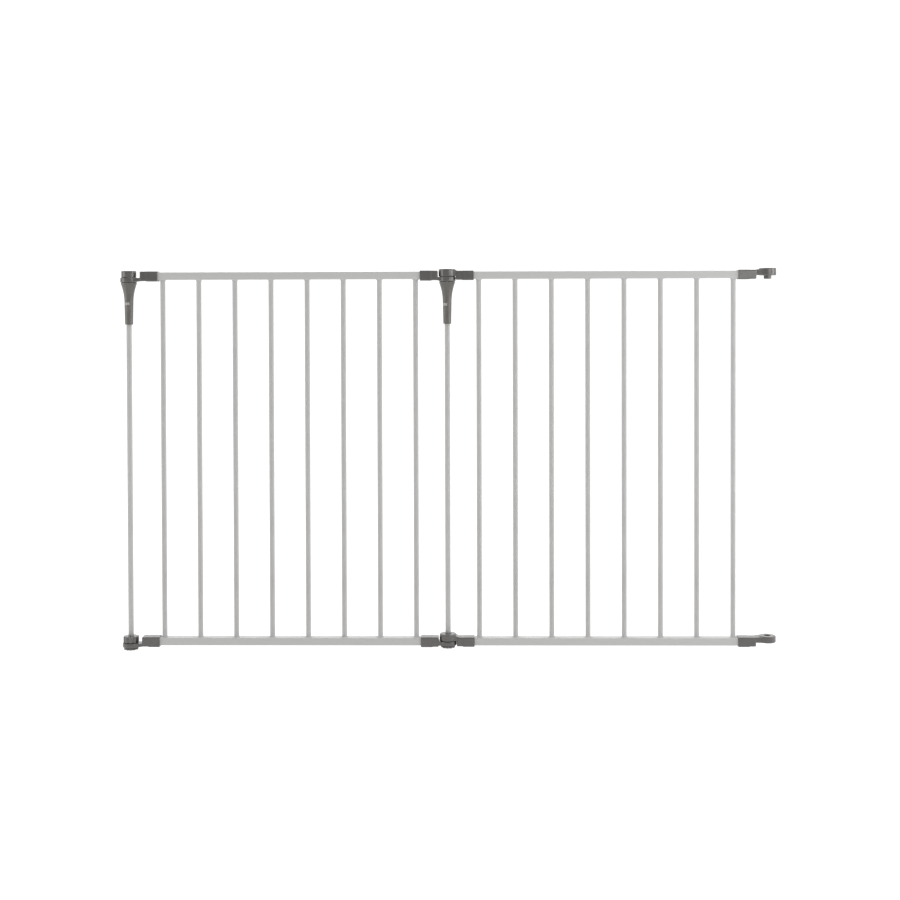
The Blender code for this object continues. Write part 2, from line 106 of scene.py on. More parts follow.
GRIP_WAIST_RADIUS = 8.8 * MM
GRIP_BOTTOM_RADIUS = 7.8 * MM
GRIP_BORE = 5.6 * MM
GRIP_BORE_DROP = 13.7 * MM
GRIP_TRAVEL = 11 * MM
BUTTON_WIDTH = 8.8 * MM
BUTTON_HEIGHT = 5.3 * MM
BUTTON_FACE = 9.6 * MM
BUTTON_BACK = 7.9 * MM
BUTTON_TRAVEL = 1 * MM
STEM_WIDTH = 3.2 * MM
STEM_HEIGHT = 2.8 * MM
STEM_END = 2.6 * MM
LEAF_WIDTH = 3 * MM
LEAF_THICKNESS = 0.35 * MM
SPRING_RADIUS = 4.6 * MM
SPRING_WIRE = 0.45 * MM
SPRING_TURNS = 5.5

# Eyes, from the centre of their rail: (bottom, top)
EYES = {
    "left_panel_top_left_connector": (-12.0 * MM, -2.7 * MM),
    "left_panel_top_right_connector": (-12.0 * MM, -2.7 * MM),
    "left_panel_bottom_left_connector": (-12.3 * MM, -3.3 * MM),
    "left_panel_bottom_right_connector": (-8.0 * MM, 1.0 * MM),
    "right_panel_top_left_connector": (-2.4 * MM, 12.3 * MM),
    "right_panel_top_right_connector": (-2.4 * MM, 12.3 * MM),
    "right_panel_bottom_left_connector": (1.3 * MM, 15.0 * MM),
    "right_panel_bottom_right_connector": (-1.8 * MM, 11.3 * MM),
}
POST_TURNS = {"left": math.radians(-8), "middle": math.radians(-27)}

# The camera stands where the photograph was taken from
CAMERA_PLACE = (0.047, -2.8, 0.66)
CAMERA_PITCH = math.radians(-1.008)
CAMERA_YAW = math.radians(0.853)
CAMERA_ROLL = math.radians(0.162)
CAMERA_LENS = 57.12
CAMERA_SHIFT = -0.1231  # the photograph's horizon is above its middle

# The studio is bright enough for its floor and backdrop to run together
STUDIO_HALF = 14.0
FLOOR_GLOW = 0.95
BACKDROP_GLOW = 0.95
SURROUND = 0.41

CUT_BEYOND = 4 * MM  # how far a cutter runs past the face that it opens
ROUND_STEPS = 96
TUBE_STEPS = 48
VOXEL = 0.4 * MM  # fineness of the moulded connectors


# ---------------------------------------------------------------- places from the frame


def middle_of(node):
    low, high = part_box(node)
    return (Vector(low) + Vector(high)) / 2


JOINTS = {joint["name"]: joint for joint in frame["joints"]}
RAIL_Z = {
    "top": middle_of("left_panel_top_rail").z,
    "bottom": middle_of("left_panel_bottom_rail").z,
}
POST_X = {side: JOINTS[f"{side}_post_turn"]["pos_m"][0] for side in ("left", "middle")}
BODY = {node: body for body, nodes in frame["record"]["behaviour"]["bodies"].items() for node in nodes}


# ---------------------------------------------------------------- outlines and meshes


def filleted(points, radius, steps=4):
    """A closed outline with rounded corners. A point's own third value replaces the radius."""
    rounded = []
    for i, point in enumerate(points):
        corner = Vector(point[:2])
        reach = point[2] if len(point) > 2 else radius
        before = Vector(points[i - 1][:2]) - corner
        after = Vector(points[(i + 1) % len(points)][:2]) - corner
        reach = min(reach, before.length * 0.49, after.length * 0.49)
        if reach <= 0:
            rounded.append(tuple(corner))
            continue
        start = corner + before.normalized() * reach
        end = corner + after.normalized() * reach
        for k in range(steps + 1):
            t = k / steps
            rounded.append(tuple(start * (1 - t) ** 2 + corner * 2 * t * (1 - t) + end * t**2))
    return rounded


def circle(radius, steps=ROUND_STEPS):
    angles = [math.tau * i / steps for i in range(steps)]
    return [(radius * math.cos(a), radius * math.sin(a)) for a in angles]


def lobed(radius, inset=0.0):
    """A circle with LOBE_COUNT soft lobes, drawn in by an inset."""
    points = []
    for x, y in circle(1, LOBE_COUNT * 16):
        angle = math.atan2(y, x)
        reach = radius + LOBE_HEIGHT * math.cos(LOBE_COUNT * angle) - inset
        points.append((reach * x, reach * y))
    return points


def lofted(sections):
    """Joins closed outlines, each a list of 3-D points, into a body with flat ends."""
    bm = bmesh.new()
    rings = [[bm.verts.new(point) for point in section] for section in sections]
    bm.faces.new(rings[0])
    bm.faces.new(rings[-1])
    for lower, upper in zip(rings, rings[1:]):
        for i in range(len(lower)):
            j = (i + 1) % len(lower)
            bm.faces.new((lower[i], lower[j], upper[j], upper[i]))
    return bm


def hollow_loft(outer, inner):
    """A tube whose outer and inner walls are lists of sections, joined at both ends."""
    bm = bmesh.new()
    rings = [[bm.verts.new(point) for point in section] for section in outer + inner[::-1]]
    for lower, upper in zip(rings, rings[1:] + rings[:1]):
        for i in range(len(lower)):
            j = (i + 1) % len(lower)
            bm.faces.new((lower[i], lower[j], upper[j], upper[i]))
    return bm


def extruded(outline, bottom, top):
    return lofted([[(x, y, z) for x, y in outline] for z in (bottom, top)])


def turned(profile, steps=ROUND_STEPS):
    """Turns a closed outline of (radius, height) points about Z. Points may lie on the axis."""
    bm = bmesh.new()
    rings = []
    for radius, height in profile:
        if radius < 1e-7:
            rings.append([bm.verts.new((0, 0, height))] * steps)
        else:
            rings.append([bm.verts.new((x, y, height)) for x, y in circle(radius, steps)])
    for lower, upper in zip(rings, rings[1:] + rings[:1]):
        for i in range(steps):
            j = (i + 1) % steps
            corners = list(dict.fromkeys((lower[i], lower[j], upper[j], upper[i])))
            if len(corners) > 2:
                bm.faces.new(corners)
    return bm


def box(x_range, y_range, z_range, bevel=0.0, segments=4):
    (x0, x1), (y0, y1) = x_range, y_range
    bm = extruded([(x0, y0), (x1, y0), (x1, y1), (x0, y1)], *z_range)
    if bevel:
        bmesh.ops.bevel(bm, geom=bm.edges, offset=bevel, segments=segments, profile=0.5, affect="EDGES")
    return bm


def along_x(bm):
    """Lays a prism made along Z down along X, with its outline's x as Y and its y as Z."""
    turn = Matrix(((0, 0, 1, 0), (1, 0, 0, 0), (0, 1, 0, 0), (0, 0, 0, 1)))
    bmesh.ops.transform(bm, matrix=turn, verts=bm.verts)
    return bm


def towards_back(bm):
    """Turns a piece made along +Z to point along +Y."""
    bmesh.ops.rotate(bm, matrix=Matrix.Rotation(-math.pi / 2, 3, "X"), verts=bm.verts)
    return bm


def moved(bm, x, y, z):
    bmesh.ops.translate(bm, vec=(x, y, z), verts=bm.verts)
    return bm


def mesh_from(bm, name):
    bmesh.ops.remove_doubles(bm, verts=bm.verts, dist=1e-7)
    bmesh.ops.recalc_face_normals(bm, faces=bm.faces)
    mesh = bpy.data.meshes.new(name)
    bm.to_mesh(mesh)
    bm.free()
    return mesh


def put_in_scene(name, mesh):
    obj = bpy.data.objects.new(name, mesh)
    bpy.context.scene.collection.objects.link(obj)
    return obj


def smooth_shaded(mesh, angle=38):
    mesh.shade_smooth()
    mesh.set_sharp_from_angle(angle=math.radians(angle))
    return mesh


def combined(base, joins=(), cuts=(), voxel=0.0):
    """Unites closed shapes and cuts others away. A voxel size then melts the edges together."""
    body = put_in_scene("body", mesh_from(base, "body"))
    tools = []
    for operation, shapes in (("UNION", joins), ("DIFFERENCE", cuts)):
        for shape in shapes:
            tool = put_in_scene("tool", mesh_from(shape, "tool"))
            modifier = body.modifiers.new(operation, "BOOLEAN")
            modifier.operation = operation
            modifier.object = tool
            tools.append(tool)
    if voxel:
        remesh = body.modifiers.new("remesh", "REMESH")
        remesh.mode = "VOXEL"
        remesh.voxel_size = voxel
        soften = body.modifiers.new("soften", "SMOOTH")
        soften.factor = 0.5
        soften.iterations = 5
    depsgraph = bpy.context.evaluated_depsgraph_get()
    mesh = bpy.data.meshes.new_from_object(body.evaluated_get(depsgraph))
    for helper in tools + [body]:
        bpy.data.objects.remove(helper, do_unlink=True)
    return mesh


def finished(node, mesh, material, place=(0, 0, 0), turn=0.0, name=None):
    """Puts a finished piece where its CAD node is, on the same body."""
    mesh.transform(Matrix.Rotation(turn, 4, "Z"))
    piece = put_in_scene(name or f"{node}_finished", mesh)
    piece.location = place
    piece.data.materials.clear()
    piece.data.materials.append(material)
    bpy.context.view_layer.update()
    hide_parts(node)
    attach(piece, BODY[node])
    return piece


# ---------------------------------------------------------------- materials


def add(tree, kind, inputs=None, **settings):
    """A new shader node, with its inputs set or linked and its properties set."""
    made = tree.nodes.new(kind)
    for key, value in settings.items():
        setattr(made, key, value)
    for key, value in (inputs or {}).items():
        if isinstance(value, bpy.types.NodeSocket):
            tree.links.new(value, made.inputs[key])
        else:
            made.inputs[key].default_value = value
    return made


def object_place(tree, stretch=(1, 1, 1)):
    place = add(tree, "ShaderNodeTexCoord").outputs["Object"]
    return add(tree, "ShaderNodeMapping", {"Vector": place, "Scale": stretch}).outputs["Vector"]


def grain(tree, place, scale, detail=2.0, roughness=0.5):
    inputs = {"Vector": place, "Scale": scale, "Detail": detail, "Roughness": roughness}
    return add(tree, "ShaderNodeTexNoise", inputs).outputs["Fac"]


def ranged(tree, value, low, high, to_low=0.0, to_high=1.0):
    inputs = {"Value": value, "From Min": low, "From Max": high, "To Min": to_low, "To Max": to_high}
    return add(tree, "ShaderNodeMapRange", inputs).outputs["Result"]


def mixed(tree, factor, first, second, blend="MIX"):
    """A colour between two others, each a socket or an RGB triple."""
    made = add(tree, "ShaderNodeMix", data_type="RGBA", blend_type=blend)
    for socket, value in ((made.inputs[0], factor), (made.inputs[6], first), (made.inputs[7], second)):
        if isinstance(value, bpy.types.NodeSocket):
            tree.links.new(value, socket)
        elif isinstance(value, tuple):
            socket.default_value = (*value, 1)
        else:
            socket.default_value = value
    return made.outputs[2]


def sum_of(tree, *terms):
    """The sum of (socket, weight) pairs."""
    total = None
    for socket, weight in terms:
        scaled = add(tree, "ShaderNodeMath", {0: socket, 1: weight}, operation="MULTIPLY").outputs[0]
        if total is None:
            total = scaled
        else:
            total = add(tree, "ShaderNodeMath", {0: total, 1: scaled}, operation="ADD").outputs[0]
    return total


def painted_crevice_shade(tree, colour, reach, depth):
    """Paints shade into a colour where surfaces meet closely: painted shade read from ambient occlusion."""
    occlusion = add(tree, "ShaderNodeAmbientOcclusion", {"Distance": reach}, samples=6).outputs["AO"]
    return mixed(tree, ranged(tree, occlusion, 0.15, 0.85, depth, 0.0), colour, (0.02, 0.02, 0.02))


def edge_mask(tree, low=0.51, high=0.58):
    return ranged(tree, add(tree, "ShaderNodeNewGeometry").outputs["Pointiness"], low, high)


def bumped(tree, shader, height, strength, distance):
    inputs = {"Height": height, "Strength": strength, "Distance": distance}
    tree.links.new(add(tree, "ShaderNodeBump", inputs).outputs["Normal"], shader.inputs["Normal"])


def new_material(name, metallic=0.0):
    material = bpy.data.materials.new(name)
    material.use_nodes = True
    shader = material.node_tree.nodes["Principled BSDF"]
    shader.inputs["Metallic"].default_value = metallic
    return material, material.node_tree, shader


def powder_coat():
    """Light grey powder coat: slow tone changes, fine speckle, orange peel and a satin gloss, with a painted
    highlight on convex edges and painted shade in crevices.
    """
    material, tree, shader = new_material("grey_powder_coat")
    shader.inputs["Specular IOR Level"].default_value = 0.4
    place = object_place(tree)
    cloud = ranged(tree, grain(tree, place, 11, 3), 0.35, 0.65)
    colour = mixed(tree, cloud, (0.4, 0.397, 0.39), (0.436, 0.434, 0.429))
    speck = ranged(tree, grain(tree, place, 2600, 1), 0.6, 0.75, 0.0, 0.3)
    colour = mixed(tree, speck, colour, (0.52, 0.52, 0.51))
    # Painted highlight: convex edges are painted lighter, as rounded edges catch the light.
    colour = mixed(tree, edge_mask(tree, 0.53, 0.62), colour, (0.455, 0.453, 0.446))
    # Painted shade where surfaces meet closely.
    tree.links.new(painted_crevice_shade(tree, colour, 9 * MM, 0.35), shader.inputs["Base Color"])
    rough = sum_of(tree, (grain(tree, place, 60, 3), 0.16), (grain(tree, place, 1500, 2), 0.14))
    rough = ranged(tree, rough, 0.0, 0.3, 0.36, 0.54)
    tree.links.new(rough, shader.inputs["Roughness"])
    peel = sum_of(tree, (grain(tree, place, 900, 2), 0.75), (grain(tree, place, 3800, 1), 0.25))
    bumped(tree, shader, peel, 0.35, 0.06 * MM)
    return material


def moulded_plastic(name, dark, light, worn, gloss, sheen):
    """Dark moulded plastic: spark-eroded grain, slight flow marks and rubbed edges, with painted shade in
    crevices.
    """
    material, tree, shader = new_material(name)
    shader.inputs["Coat Weight"].default_value = sheen
    shader.inputs["Coat Roughness"].default_value = 0.25
    place = object_place(tree)
    flow = grain(tree, object_place(tree, (1, 3, 1)), 55, 4, 0.6)
    colour = mixed(tree, ranged(tree, flow, 0.35, 0.65), dark, light)
    fleck = ranged(tree, grain(tree, place, 3400, 1), 0.55, 0.75, 0.0, 0.35)
    colour = mixed(tree, fleck, colour, worn)
    rub = add(tree, "ShaderNodeMath", {0: edge_mask(tree)}, operation="MULTIPLY")
    tree.links.new(grain(tree, place, 420, 3), rub.inputs[1])
    colour = mixed(tree, rub.outputs[0], colour, worn)
    # Painted shade where surfaces meet closely.
    tree.links.new(painted_crevice_shade(tree, colour, 5 * MM, 0.4), shader.inputs["Base Color"])
    rough = ranged(tree, grain(tree, place, 180, 3), 0.3, 0.7, gloss, gloss + 0.14)
    tree.links.new(rough, shader.inputs["Roughness"])
    erosion = sum_of(tree, (grain(tree, place, 1900, 3, 0.65), 0.8), (flow, 0.2))
    bumped(tree, shader, erosion, 0.25, 0.05 * MM)
    return material


def plated_steel(name, bright, dull, stretch, shine):
    """Bright metal with drawing marks along its length and a few dull patches."""
    material, tree, shader = new_material(name, 1.0)
    marks = grain(tree, object_place(tree, stretch), 700, 3, 0.6)
    patches = grain(tree, object_place(tree), 260, 3)
    colour = mixed(tree, ranged(tree, patches, 0.35, 0.65), bright, dull)
    tree.links.new(colour, shader.inputs["Base Color"])
    rough = sum_of(tree, (marks, 0.2), (patches, 0.16))
    tree.links.new(ranged(tree, rough, 0.0, 0.36, shine, shine + 0.25), shader.inputs["Roughness"])
    bumped(tree, shader, marks, 0.2, 0.03 * MM)
    return material


def studio_paper(name, glow):
    material, tree, shader = new_material(name)
    tone = ranged(tree, grain(tree, object_place(tree), 40, 2), 0.3, 0.7)
    paper = mixed(tree, tone, (0.22, 0.22, 0.22), (0.24, 0.24, 0.24))
    tree.links.new(paper, shader.inputs["Base Color"])
    shader.inputs["Roughness"].default_value = 0.9
    shader.inputs["Specular IOR Level"].default_value = 0.1
    shader.inputs["Emission Color"].default_value = (1, 1, 1, 1)
    shader.inputs["Emission Strength"].default_value = glow
    return material


COATED = powder_coat()
BLOCK_PLASTIC = moulded_plastic(
    "connector_plastic", (0.06, 0.056, 0.053), (0.075, 0.07, 0.067), (0.13, 0.125, 0.12), 0.32, 0.7
)
GRIP_PLASTIC = moulded_plastic(
    "grip_plastic", (0.074, 0.068, 0.061), (0.092, 0.085, 0.077), (0.14, 0.13, 0.12), 0.34, 0.4
)
BUTTON_PLASTIC = moulded_plastic(
    "button_plastic", (0.25, 0.24, 0.23), (0.29, 0.28, 0.27), (0.4, 0.39, 0.38), 0.36, 0.2
)
ZINC = plated_steel("zinc_plate", (0.72, 0.73, 0.74), (0.6, 0.6, 0.58), (1, 1, 1), 0.2)
SPRING_STEEL = plated_steel("spring_steel", (0.56, 0.56, 0.57), (0.42, 0.41, 0.4), (1, 1, 0.1), 0.22)
DRAWN_STEEL = plated_steel("drawn_steel", (0.66, 0.66, 0.67), (0.54, 0.54, 0.54), (8, 8, 0.4), 0.2)


# ---------------------------------------------------------------- panels


def build_rail(node):
    """A rectangular tube with rounded corners and open ends."""
    low, high = (Vector(corner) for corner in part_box(node))
    centre = (low + high) / 2
    half = (high - low) / 2
    walls = []
    for inset in (0.0, RAIL_WALL):
        wide = half.y - inset
        tall = half.z - inset
        corner = max(RAIL_CORNER - inset, 0.8 * MM)
        outline = filleted([(-wide, -tall), (wide, -tall), (wide, tall), (-wide, tall)], corner, 6)
        walls.append([[(x, y, z) for y, z in outline] for x in (-half.x, half.x)])
    mesh = smooth_shaded(mesh_from(hollow_loft(*walls), node))
    finished(node, mesh, COATED, centre)


def build_bar(node, seed):
    """A round bar between the rails' inner faces, flared at both ends by its weld."""
    panel = node[: node.index("_bar")]
    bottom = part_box(f"{panel}_bottom_rail")[1][2] - WELD_EMBED
    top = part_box(f"{panel}_top_rail")[0][2] + WELD_EMBED
    flare = [(1.0, 0.0), (0.92, 0.25), (0.62, 0.5), (0.28, 0.7), (0.08, 0.88), (0.0, 1.0)]
    foot = [(BAR_RADIUS + out * WELD_WIDTH, bottom + up * WELD_HEIGHT) for out, up in flare]
    head = [(radius, top - (height - bottom)) for radius, height in reversed(foot)]
    inner = BAR_RADIUS - BAR_WALL
    bm = turned(foot + head + [(inner, top), (inner, bottom)], TUBE_STEPS)
    for vert in bm.verts:
        out = Vector((vert.co.x, vert.co.y, 0))
        if out.length > BAR_RADIUS + 0.01 * MM:
            ripple = noise.noise(Vector((vert.co.x, vert.co.y, vert.co.z + seed)) * 420)
            share = (out.length - BAR_RADIUS) / WELD_WIDTH
            vert.co += out.normalized() * ripple * share * WELD_RIPPLE
    place = middle_of(node)
    finished(node, smooth_shaded(mesh_from(bm, node), 60), COATED, (place.x, 0, 0))


def build_screw(node):
    """A pan-head screw with a cross recess."""
    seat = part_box(node)[1][1] - SCREW_HEAD_HEIGHT
    place = middle_of(node)
    head = [
        (0, -SCREW_LENGTH, 0),
        (SCREW_RADIUS * 0.5, -SCREW_LENGTH, 0),
        (SCREW_RADIUS, -4.3 * MM, 0.3 * MM),
        (SCREW_RADIUS, 0, 0),
        (SCREW_HEAD_RADIUS, 0, 0.15 * MM),
        (SCREW_HEAD_RADIUS, 1.0 * MM, 0.5 * MM),
        (SCREW_HEAD_RADIUS * 0.72, 1.75 * MM, 0.8 * MM),
        (0, SCREW_HEAD_HEIGHT, 0),
    ]
    recess = []
    for wide, tall in ((CROSS_LENGTH, CROSS_WIDTH), (CROSS_WIDTH, CROSS_LENGTH)):
        floor = [(x * 0.55, y * 0.55, 0.5 * MM) for x, y in rectangle(wide, tall)]
        mouth = [(x, y, 2.6 * MM) for x, y in rectangle(wide, tall)]
        recess.append(lofted([floor, mouth]))
    mesh = combined(turned(filleted(head, 0), TUBE_STEPS), cuts=recess)
    mesh.transform(Matrix.Rotation(math.radians(37), 4, "Z"))
    mesh.transform(Matrix.Rotation(-math.pi / 2, 4, "X"))
    finished(node, smooth_shaded(mesh), ZINC, (place.x, seat, place.z))


def rectangle(half_width, half_height):
    return [
        (-half_width, -half_height),
        (half_width, -half_height),
        (half_width, half_height),
        (-half_width, half_height),
    ]


def softened_disc(radius, bottom, top, edge):
    return turned(filleted([(0, bottom, 0), (radius, bottom), (radius, top), (0, top, 0)], edge))


def countersunk(radius, bottom, top, rim):
    """A cutter for a round hole whose mouths open out by the rim."""
    beyond = CUT_BEYOND
    profile = [
        (0, bottom - beyond),
        (radius + rim + beyond, bottom - beyond),
        (radius, bottom + rim),
        (radius, top - rim),
        (radius + rim + beyond, top + beyond),
        (0, top + beyond),
    ]
    return turned(profile)


def arm(eye, block_at, block):
    """The tapered arm from an eye to its block."""
    near_low = eye[0] + 0.6 * MM
    near_high = eye[1] - 0.6 * MM
    far_low = max(near_low, block[0] + NECK_STEP + 0.6 * MM)
    far_high = min(near_high, block[1] - 0.8 * MM)
    sections = []
    for x, half, low, high in (
        (8 * MM, 13 * MM, near_low, near_high),
        (block_at + 6 * MM, 10.2 * MM, far_low, far_high),
    ):
        sections.append([(x, -half, low), (x, half, low), (x, half, high), (x, -half, high)])
    return lofted(sections)


def softened_prism(x_range, half_depth, bottom, top, radius):
    """A block along X with rounded long edges, a rounded near end and a crisp far end."""
    near, far = x_range
    middle = (bottom + top) / 2
    half = (top - bottom) / 2
    sections = []
    steps = 5
    for k in range(steps + 1):
        angle = math.pi / 2 * k / steps
        inset = radius * (1 - math.sin(angle))
        outline = filleted(rectangle(half_depth - inset, half - inset), radius - inset * 0.6, 6)
        sections.append([(near + radius * (1 - math.cos(angle)), y, middle + z) for y, z in outline])
    for inset, x in ((0.0, far - 0.4 * MM), (0.4 * MM, far)):
        outline = filleted(rectangle(half_depth - inset, half - inset), radius - inset, 6)
        sections.append([(x, y, middle + z) for y, z in outline])
    return lofted(sections)


def build_connector(node):
    """A moulded block with the rail's socket, and its arm and eye, melted into one another."""
    eye = EYES[node]
    low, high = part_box(node)
    level = "top" if "_top_" in node else "bottom"
    side = 1 if node.endswith("left_connector") else -1
    axis_x = low[0] + EYE_RADIUS if side > 0 else high[0] - EYE_RADIUS
    reach = high[0] - low[0] - EYE_RADIUS
    block_at = reach - BLOCK_LENGTH
    step = block_at + NECK_LENGTH
    bottom, top = BLOCKS[node.split("_")[0]]
    block = softened_prism((step - 3 * MM, reach), BLOCK_HALF_DEPTH, bottom, top, 2.2 * MM)
    neck = softened_prism(
        (block_at, step + 2 * MM),
        NECK_HALF_DEPTH,
        bottom + NECK_STEP,
        top - 0.2 * MM,
        2 * MM,
    )
    rail_low, rail_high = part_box("left_panel_top_rail")
    socket_wide = (rail_high[1] - rail_low[1]) / 2 + GAP
    socket_tall = (rail_high[2] - rail_low[2]) / 2 + GAP
    socket = filleted(rectangle(socket_wide, socket_tall), RAIL_CORNER)
    screw_hole = extruded(circle(SCREW_HOLE, 32), 4 * MM, 16 * MM)
    rim = (1.4 if level == "top" else 2.2) * MM
    joins = [neck, arm(eye, block_at, (bottom, top)), softened_disc(EYE_RADIUS, *eye, rim)]
    cuts = [
        along_x(extruded(socket, RAIL_END - GAP, reach + 5 * MM)),
        moved(towards_back(screw_hole), SCREW_X, 0, 0),
    ]
    if node.startswith("right_panel_top"):
        joins.append(softened_disc(PEG_RADIUS, PEG_BOTTOM, eye[0] + 3 * MM, 0.8 * MM))
        cuts.append(extruded(circle(PIN_BORE), PEG_BOTTOM - 5 * MM, PIN_BORE_TOP))
    else:
        hole = PEG_HOLE if level == "top" else ROD_HOLE
        cuts.append(countersunk(hole, *eye, 0.5 * MM))
    mesh = combined(block, joins, cuts, VOXEL)
    if side < 0:
        mesh.transform(Matrix.Scale(-1, 4, (1, 0, 0)))
        mesh.flip_normals()
    mesh.shade_smooth()
    finished(node, mesh, BLOCK_PLASTIC, (axis_x, 0, RAIL_Z[level]))


def build_panels():
    seed = 0
    for node in frame["nodes"]:
        if node.endswith("_rail"):
            build_rail(node)
        elif "_bar_" in node:
            seed += 1
            build_bar(node, seed)
        elif "_screw_" in node:
            build_screw(node)
        elif node.endswith("_connector"):
            build_connector(node)


# ---------------------------------------------------------------- posts


def build_cap():
    """The cap in place of the left post's missing high eye."""
    seat = EYES["right_panel_top_left_connector"][0]
    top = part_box("left_top_cap")[1][2] - RAIL_Z["top"]
    profile = [
        (PIN_BORE, PEG_BOTTOM, 0.4 * MM),
        (PEG_RADIUS, PEG_BOTTOM, 0.8 * MM),
        (PEG_RADIUS, seat, 0),
        (CAP_RADIUS, seat, 1.0 * MM),
        (CAP_RADIUS, top, 1.6 * MM),
        (0, top, 0),
        (0, PIN_BORE_TOP, 0),
        (PIN_BORE, PIN_BORE_TOP, 0),
    ]
    mesh = smooth_shaded(mesh_from(turned(filleted(profile, 0)), "cap"))
    finished("left_top_cap", mesh, BLOCK_PLASTIC, (POST_X["left"], 0, RAIL_Z["top"]))


def lobed_disc(radius, bottom, top, edge):
    """A lobed plate with rounded rims."""
    sections = []
    for k in range(5):
        angle = math.pi / 2 * k / 4
        inset = edge * (1 - math.sin(angle))
        sections.append([(x, y, bottom + edge * (1 - math.cos(angle))) for x, y in lobed(radius, inset)])
    mirrored = [[(x, y, bottom + top - z) for x, y, z in section] for section in reversed(sections)]
    return lofted(sections + mirrored)


def build_crown():
    node = "left_post_crown"
    low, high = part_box(node)
    place = (POST_X["left"], 0, 0)
    bore = countersunk(ROD_RADIUS + GAP, low[2], high[2], 0.5 * MM)
    mesh = combined(lobed_disc(CROWN_RADIUS, low[2], high[2], 1.5 * MM), cuts=[bore])
    finished(node, smooth_shaded(mesh), BLOCK_PLASTIC, place, POST_TURNS["left"])


def build_foot(side):
    """The lobed levelling foot and, as a piece of its own, its threaded stud."""
    node = f"{side}_post_foot"
    low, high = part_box(node)
    place = (POST_X[side], 0, 0)
    top = low[2] + FOOT_HEIGHT
    mesh = mesh_from(lobed_disc(FOOT_RADIUS, low[2], top, 2 * MM), "foot")
    finished(node, smooth_shaded(mesh), GRIP_PLASTIC, place, POST_TURNS[side])
    turns = int((high[2] - top) / THREAD_PITCH)
    thread = [(0, top - 0.5 * MM), (STUD_RADIUS * 0.84, top - 0.5 * MM)]
    for k in range(turns):
        thread.append((STUD_RADIUS * 0.84, top + (k + 0.1) * THREAD_PITCH))
        thread.append((STUD_RADIUS, top + (k + 0.5) * THREAD_PITCH))
    thread += [(STUD_RADIUS * 0.7, high[2]), (0, high[2])]
    stud = smooth_shaded(mesh_from(turned(thread, TUBE_STEPS), "stud"), 20)
    finished(node, stud, ZINC, place, name=f"{side}_foot_stud")


def build_rod(side):
    node = f"{side}_post_rod"
    low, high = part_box(node)
    button_z = middle_of(f"{side}_button").z
    inner = ROD_RADIUS - ROD_WALL
    edge = 0.3 * MM
    profile = [(inner, low[2]), (ROD_RADIUS, low[2]), (ROD_RADIUS, high[2]), (inner, high[2])]
    half = STEM_WIDTH / 2 + 1.3 * GAP
    slot = box(
        (-half, half),
        (-8 * MM, 0),
        (
            button_z - STEM_HEIGHT / 2 - GRIP_TRAVEL - 1.3 * GAP,
            button_z + STEM_HEIGHT / 2 + 1.3 * GAP,
        ),
    )
    mesh = combined(turned(filleted(profile, edge, 2), 64), cuts=[slot])
    finished(node, smooth_shaded(mesh), COATED, (POST_X[side], 0, 0), POST_TURNS[side])


def build_grip(side):
    """The tapered grip, with its bore, the pin's hole and the window of the button."""
    node = f"{side}_grip"
    low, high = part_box(node)
    bottom = low[2]
    top = high[2]
    button_z = middle_of(f"{side}_button").z
    outer = [(PIN_BORE, top, 0.3 * MM), (GRIP_FLARE_RADIUS - 0.2 * MM, top, 0.7 * MM)]
    outer.append((GRIP_FLARE_RADIUS, top - 1.2 * MM, 0.4 * MM))
    steps = 26
    for i in range(1, steps + 1):
        share = i / steps
        flare = (GRIP_FLARE_RADIUS - GRIP_WAIST_RADIUS) * (1 - share) ** 2
        outer.append((GRIP_WAIST_RADIUS + flare, top - GRIP_FLARE_DROP - share * GRIP_FLARE_LENGTH, 0))
    outer.append((GRIP_BOTTOM_RADIUS + 0.1 * MM, bottom + 1.2 * MM, 0.5 * MM))
    outer.append((GRIP_BOTTOM_RADIUS - 0.2 * MM, bottom, 0.5 * MM))
    inner = [
        (GRIP_BORE, bottom, 0.3 * MM),
        (GRIP_BORE, top - GRIP_BORE_DROP, 0),
        (PIN_BORE, top - GRIP_BORE_DROP, 0),
    ]
    half = BUTTON_WIDTH / 2 + GAP
    tall = BUTTON_HEIGHT / 2 + GAP
    floor = BUTTON_BACK - BUTTON_TRAVEL - GAP
    window = box((-half, half), (-15 * MM, -floor), (button_z - tall, button_z + tall), 0.5 * MM, 3)
    half = STEM_WIDTH / 2 + GAP
    tall = STEM_HEIGHT / 2 + GAP
    passage = box((-half, half), (-10 * MM, -3 * MM), (button_z - tall, button_z + tall))
    mesh = combined(turned(filleted(outer + inner, 0)), cuts=[window, passage])
    finished(node, smooth_shaded(mesh), GRIP_PLASTIC, (POST_X[side], 0, 0), POST_TURNS[side])


def build_button(side):
    """A curved pad with soft edges on its stem."""
    node = f"{side}_button"
    button_z = middle_of(node).z
    reach = math.asin(BUTTON_WIDTH / 2 / BUTTON_FACE)
    arc = [-reach + 2 * reach * i / 24 for i in range(25)]
    outline = [(BUTTON_FACE * math.sin(a), -BUTTON_FACE * math.cos(a)) for a in arc]
    outline += [(BUTTON_WIDTH / 2, -BUTTON_BACK), (-BUTTON_WIDTH / 2, -BUTTON_BACK)]
    half = BUTTON_HEIGHT / 2
    head = extruded(outline, button_z - half, button_z + half)
    rim = [edge for edge in head.edges if edge.calc_face_angle(0) > math.radians(30)]
    bmesh.ops.bevel(head, geom=rim, offset=0.5 * MM, segments=3, profile=0.5, affect="EDGES")
    half = STEM_HEIGHT / 2
    stem = box(
        (-STEM_WIDTH / 2, STEM_WIDTH / 2),
        (-BUTTON_BACK - 0.6 * MM, -STEM_END),
        (button_z - half, button_z + half),
    )
    mesh = combined(head, [stem])
    finished(node, smooth_shaded(mesh), BUTTON_PLASTIC, (POST_X[side], 0, 0), POST_TURNS[side])


